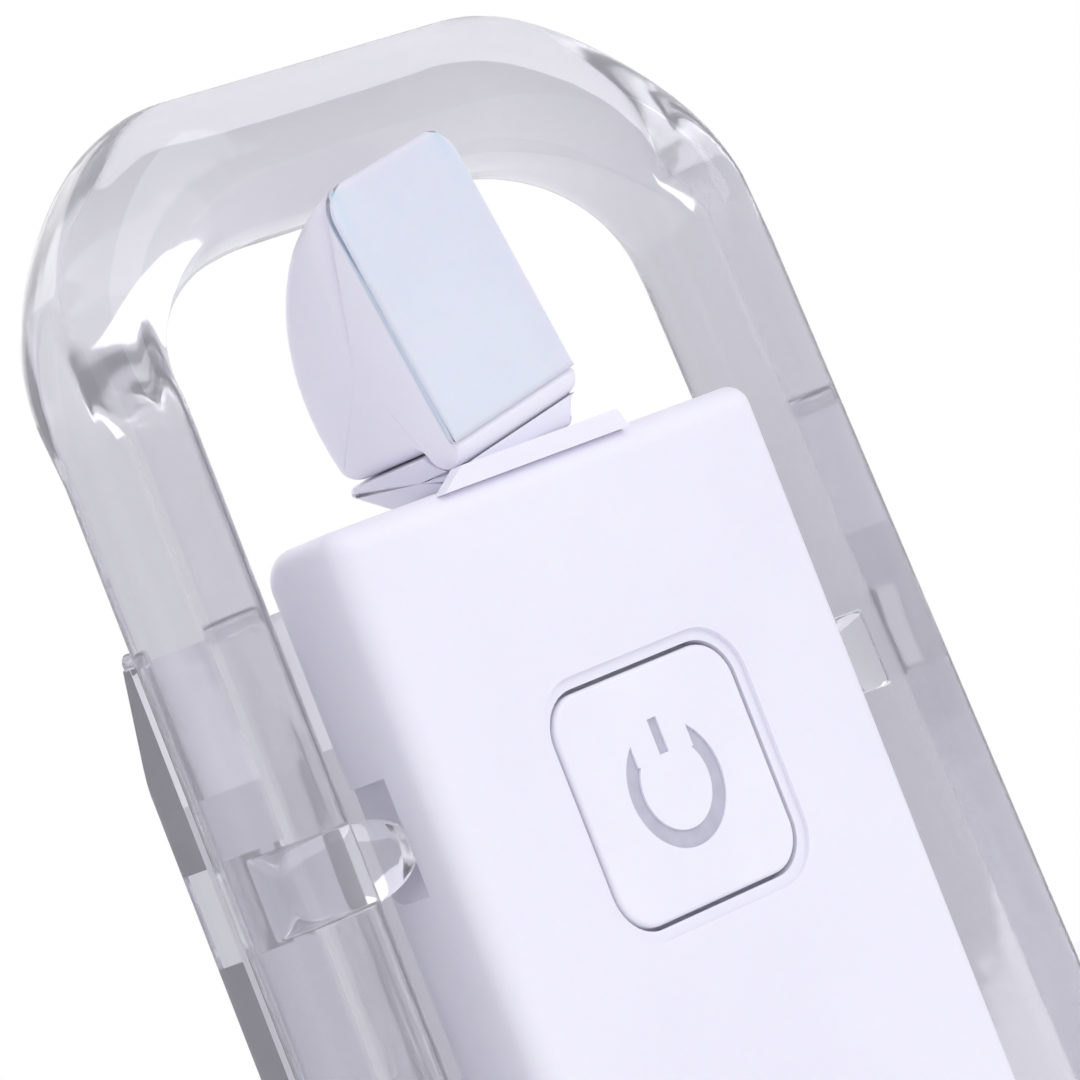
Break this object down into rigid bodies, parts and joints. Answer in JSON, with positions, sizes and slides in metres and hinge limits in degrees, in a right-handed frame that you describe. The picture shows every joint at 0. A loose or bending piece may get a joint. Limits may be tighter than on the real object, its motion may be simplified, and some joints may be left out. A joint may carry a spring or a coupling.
{
  "type": "clip on reading lamp",
  "caption": "Flat clip-on reading lamp: clear hoop-shaped clip with a rear jaw, slim battery housing with a push button, and a small head that swings and tilts.",
  "frame": {"origin": "in the mouth of the clip, half way between the legs and the rear jaw, level with the jaw's tip", "axes": "+X across the lamp to the right as seen from the button side, +Y from the button side towards the rear jaw, +Z along the lamp towards the head"},
  "size_m": [0.0454, 0.0111, 0.089],
  "materials": {
    "clear_plastic": "clear moulded, polished",
    "white_plastic": "fine satin moulded",
    "button_plastic": "fine satin moulded",
    "icon_grey": "printed grey",
    "frosted_lens": "frosted",
    "steel": "bright",
    "cell_steel": "bright",
    "board_laminate": "solder mask",
    "black_plastic": "moulded",
    "wire_insulation": "soft sleeve",
    "reflector_white": "glossy white",
    "led_phosphor": "phosphor"
  },
  "bodies": {
    "clip": {"clip_frame": "clear_plastic"},
    "jaw": {"clip_jaw": "clear_plastic"},
    "housing": {"front_shell": "white_plastic", "rear_shell": "white_plastic", "housing_screws": "steel", "circuit_board": "board_laminate", "switch_body": "black_plastic", "driver_chip": "black_plastic", "resistors": "black_plastic", "coin_cell_rear": "cell_steel", "coin_cell_front": "cell_steel", "contact_negative": "steel", "contact_positive": "steel", "lead_wires": "wire_insulation", "swing_pin": "steel"},
    "door": {"battery_door": "white_plastic"},
    "button": {"power_button": "button_plastic", "power_icon": "icon_grey", "switch_plunger": "black_plastic"},
    "neck": {"neck_block": "white_plastic", "tilt_pin": "steel"},
    "head": {"head_rear_shell": "white_plastic", "head_lens": "frosted_lens", "reflector": "reflector_white", "led_board": "board_laminate", "led": "led_phosphor"}
  },
  "joints": [
    {"name": "jaw_flex", "type": "hinge", "parent": "clip", "child": "jaw", "pos_m": [0, 0.00005, 0.0658], "axis": [1, 0, 0], "range_deg": [0, 7], "stiffness_Nm_per_rad": 1.4},
    {"name": "housing_release", "type": "slide", "parent": "clip", "child": "housing", "axis": [0, -1, 0], "range_m": [0, 0.012]},
    {"name": "door_slide", "type": "slide", "parent": "housing", "child": "door", "axis": [0, 0, -1], "range_m": [0, 0.02]},
    {"name": "button_press", "type": "slide", "parent": "housing", "child": "button", "axis": [0, 1, 0], "range_m": [0, 0.0004], "stiffness_N_per_m": 3000},
    {"name": "head_swing", "type": "hinge", "parent": "housing", "child": "neck", "pos_m": [0, -0.00515, 0.0665], "axis": [0, 1, 0], "range_deg": [0, 20]},
    {"name": "head_tilt", "type": "hinge", "parent": "neck", "child": "head", "pos_m": [-0.00071, -0.0075, 0.07054], "axis": [0.9848, 0, 0.1736], "range_deg": [0, 55]}
  ]
}
